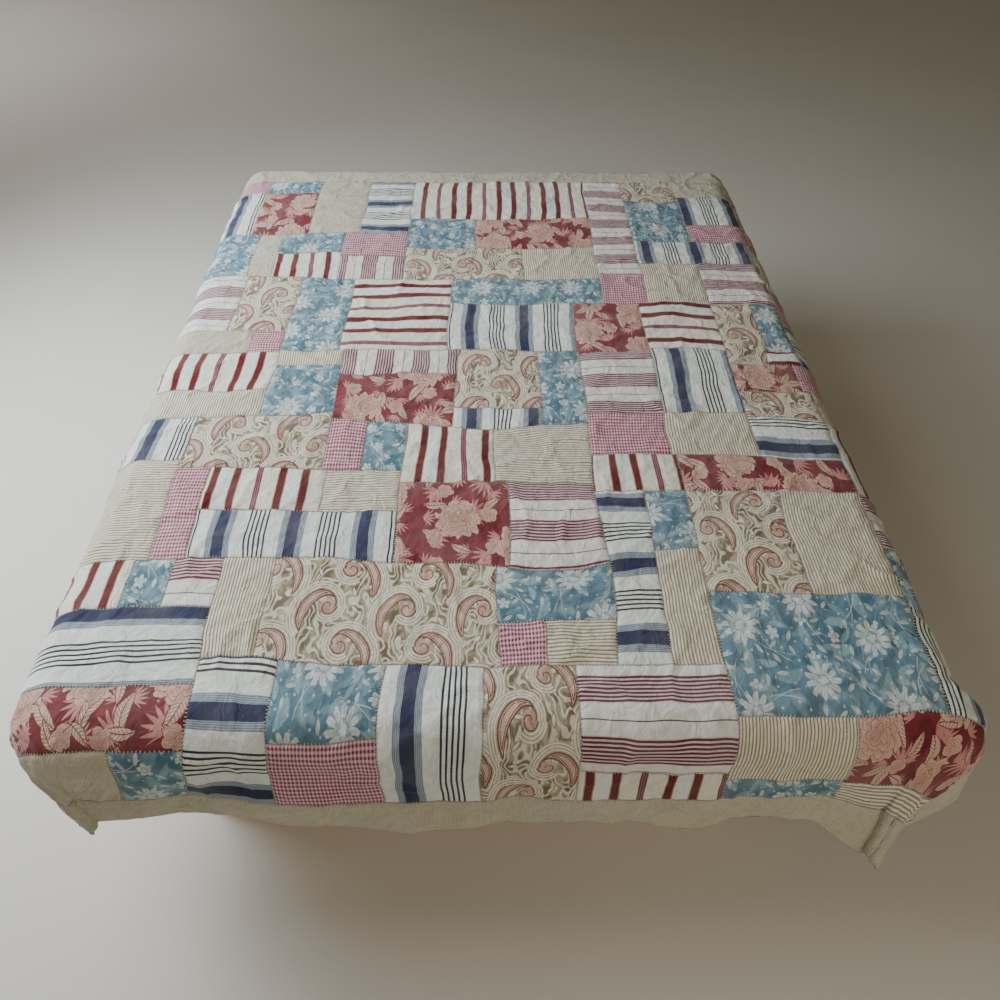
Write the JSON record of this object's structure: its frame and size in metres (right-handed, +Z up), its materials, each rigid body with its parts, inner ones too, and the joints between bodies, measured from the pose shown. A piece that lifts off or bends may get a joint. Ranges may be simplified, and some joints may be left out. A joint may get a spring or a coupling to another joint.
{
  "type": "patchwork duvet cover on a bed",
  "caption": "Patchwork duvet cover of printed, checked and striped cotton spread thin over a plain bed, its sides and foot hanging in soft folds, with plain bands at head and foot.",
  "frame": {"origin": "on the floor under the middle of the bed", "axes": "+Z up, +Y towards the head of the bed, +X to the right seen from the foot"},
  "size_m": [1.615, 2.0745, 0.5658],
  "materials": {
    "patchwork": "matte",
    "plain_cloth": "matte",
    "mattress": "matte",
    "wood": "satin"
  },
  "bodies": {
    "root": {"patchwork_front": "patchwork", "head_border": "plain_cloth", "foot_border": "plain_cloth", "back_panel": "plain_cloth", "mattress": "mattress", "bed_platform": "wood", "bed_plinth": "wood"}
  },
  "joints": []
}
